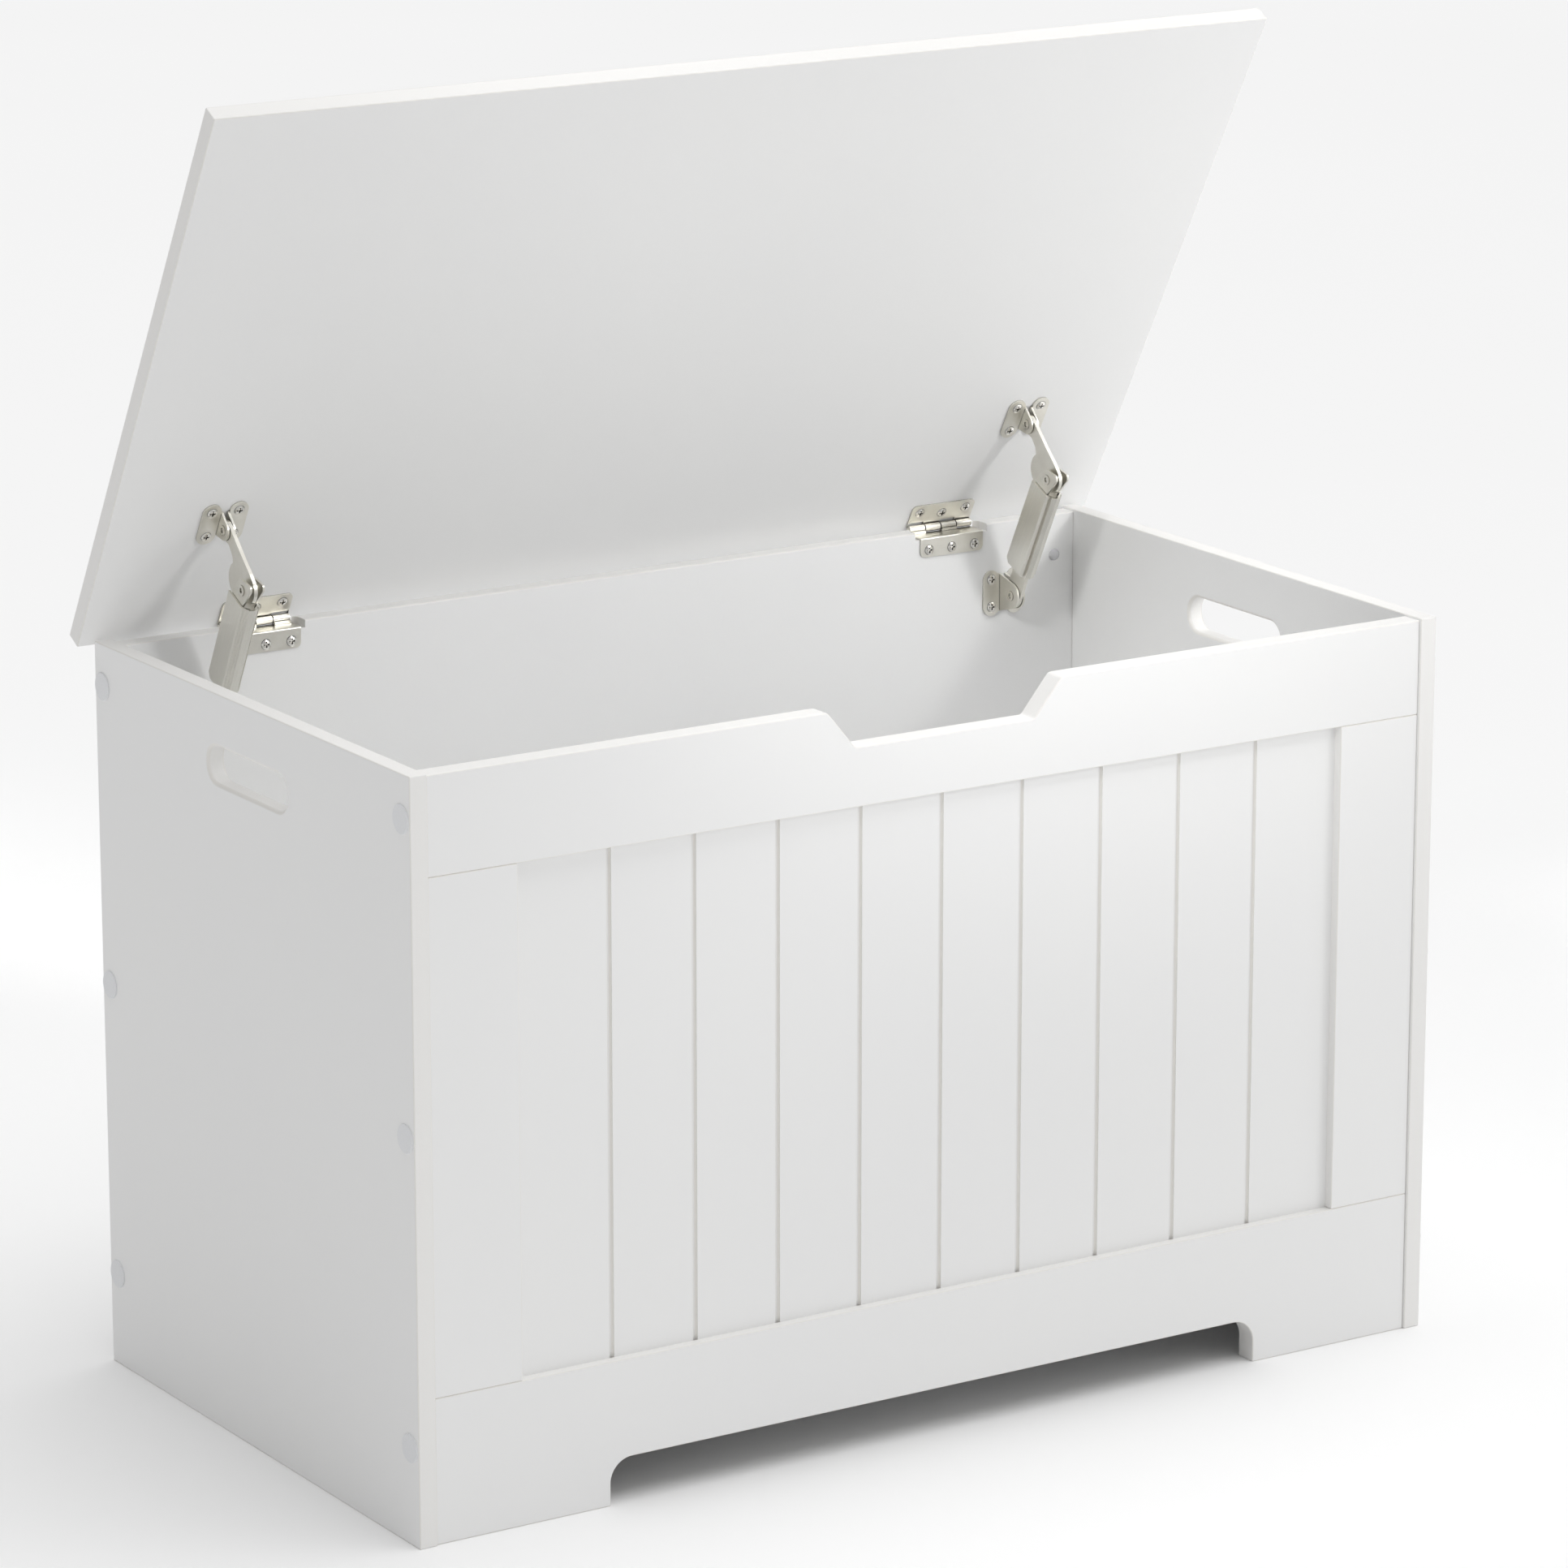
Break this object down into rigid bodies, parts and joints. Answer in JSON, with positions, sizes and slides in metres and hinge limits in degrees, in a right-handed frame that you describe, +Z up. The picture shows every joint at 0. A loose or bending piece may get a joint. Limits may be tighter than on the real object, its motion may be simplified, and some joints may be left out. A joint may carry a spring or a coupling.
{
  "type": "toy_box",
  "caption": "White painted wooden toy box with grooved front panel, finger notch, side handle slots and a lid on hinges held open by folding soft-close lid stays",
  "frame": {"origin": "on the floor under the middle of the whole object at rest, with its lid open; the middle of the carcass alone is 7 mm in front of it", "axes": "+X along the front to the right-hand side seen from the front, +Y from the front to the back, +Z up"},
  "size_m": [0.76, 0.409, 0.8273],
  "materials": {
    "white_painted_mdf": "sprayed satin white paint over MDF",
    "nickel_plated_steel": "stamped steel, satin nickel plate",
    "aluminium_housing": "drawn channel, satin",
    "bright_screw": "bright nickel, cross recess",
    "zinc_screw": "zinc plated",
    "spring_steel": "oiled music wire",
    "black_acetal": "moulded",
    "white_cap_plastic": "moulded, self-adhesive",
    "clear_plastic": "clear moulded plastic",
    "beech_dowel": "fluted beech, unfinished"
  },
  "bodies": {
    "box": {"left_side_panel": "white_painted_mdf", "right_side_panel": "white_painted_mdf", "back_panel": "white_painted_mdf", "floor_board": "white_painted_mdf", "front_top_rail": "white_painted_mdf", "front_bottom_rail": "white_painted_mdf", "left_front_stile": "white_painted_mdf", "right_front_stile": "white_painted_mdf", "front_grooved_panel": "white_painted_mdf", "front_frame_dowels": "beech_dowel", "left_carcass_screws": "zinc_screw", "right_carcass_screws": "zinc_screw", "left_screw_caps": "white_cap_plastic", "right_screw_caps": "white_cap_plastic", "clear_plug": "clear_plastic", "left_hinge_box_leaf": "nickel_plated_steel", "left_hinge_pin": "nickel_plated_steel", "left_hinge_box_screws": "bright_screw", "left_stay_wall_bracket_outer": "nickel_plated_steel", "left_stay_wall_bracket_inner": "nickel_plated_steel", "left_stay_wall_rivet": "nickel_plated_steel", "left_stay_wall_screws": "bright_screw", "right_hinge_box_leaf": "nickel_plated_steel", "right_hinge_pin": "nickel_plated_steel", "right_hinge_box_screws": "bright_screw", "right_stay_wall_bracket_outer": "nickel_plated_steel", "right_stay_wall_bracket_inner": "nickel_plated_steel", "right_stay_wall_rivet": "nickel_plated_steel", "right_stay_wall_screws": "bright_screw"},
    "lid": {"lid_panel": "white_painted_mdf", "left_hinge_lid_leaf": "nickel_plated_steel", "left_hinge_lid_screws": "bright_screw", "left_stay_lid_bracket_outer": "nickel_plated_steel", "left_stay_lid_bracket_inner": "nickel_plated_steel", "left_stay_lid_rivet": "nickel_plated_steel", "left_stay_lid_screws": "bright_screw", "right_hinge_lid_leaf": "nickel_plated_steel", "right_hinge_lid_screws": "bright_screw", "right_stay_lid_bracket_outer": "nickel_plated_steel", "right_stay_lid_bracket_inner": "nickel_plated_steel", "right_stay_lid_rivet": "nickel_plated_steel", "right_stay_lid_screws": "bright_screw"},
    "left_lower_arm": {"left_stay_lower_arm": "nickel_plated_steel", "left_stay_housing": "aluminium_housing", "left_stay_spring": "spring_steel", "left_stay_follower": "black_acetal", "left_stay_elbow_rivet": "nickel_plated_steel"},
    "left_upper_arm": {"left_stay_upper_arm": "nickel_plated_steel"},
    "right_lower_arm": {"right_stay_lower_arm": "nickel_plated_steel", "right_stay_housing": "aluminium_housing", "right_stay_spring": "spring_steel", "right_stay_follower": "black_acetal", "right_stay_elbow_rivet": "nickel_plated_steel"},
    "right_upper_arm": {"right_stay_upper_arm": "nickel_plated_steel"}
  },
  "joints": [
    {"name": "lid_hinge", "type": "hinge", "parent": "box", "child": "lid", "pos_m": [0, 0.19, 0.468], "axis": [-1, 0, 0], "range_deg": [-61, 19]},
    {"name": "left_stay_wall_pivot", "type": "hinge", "parent": "box", "child": "left_lower_arm", "pos_m": [-0.3, 0.1612, 0.4208], "axis": [-1, 0, 0], "range_deg": [-54, 17]},
    {"name": "left_stay_elbow", "type": "hinge", "parent": "left_lower_arm", "child": "left_upper_arm", "pos_m": [-0.3, 0.11729, 0.50819], "axis": [-1, 0, 0], "range_deg": [-22, 70]},
    {"name": "right_stay_wall_pivot", "type": "hinge", "parent": "box", "child": "right_lower_arm", "pos_m": [0.3, 0.1612, 0.4208], "axis": [-1, 0, 0], "range_deg": [-54, 17]},
    {"name": "right_stay_elbow", "type": "hinge", "parent": "right_lower_arm", "child": "right_upper_arm", "pos_m": [0.3, 0.11729, 0.50819], "axis": [-1, 0, 0], "range_deg": [-22, 70]}
  ],
  "couplings": [
    {"joint": "left_stay_wall_pivot", "follows": "lid_hinge", "ratio": 0.87},
    {"joint": "left_stay_elbow", "follows": "lid_hinge", "ratio": -1.14},
    {"joint": "right_stay_wall_pivot", "follows": "lid_hinge", "ratio": 0.87},
    {"joint": "right_stay_elbow", "follows": "lid_hinge", "ratio": -1.14}
  ]
}
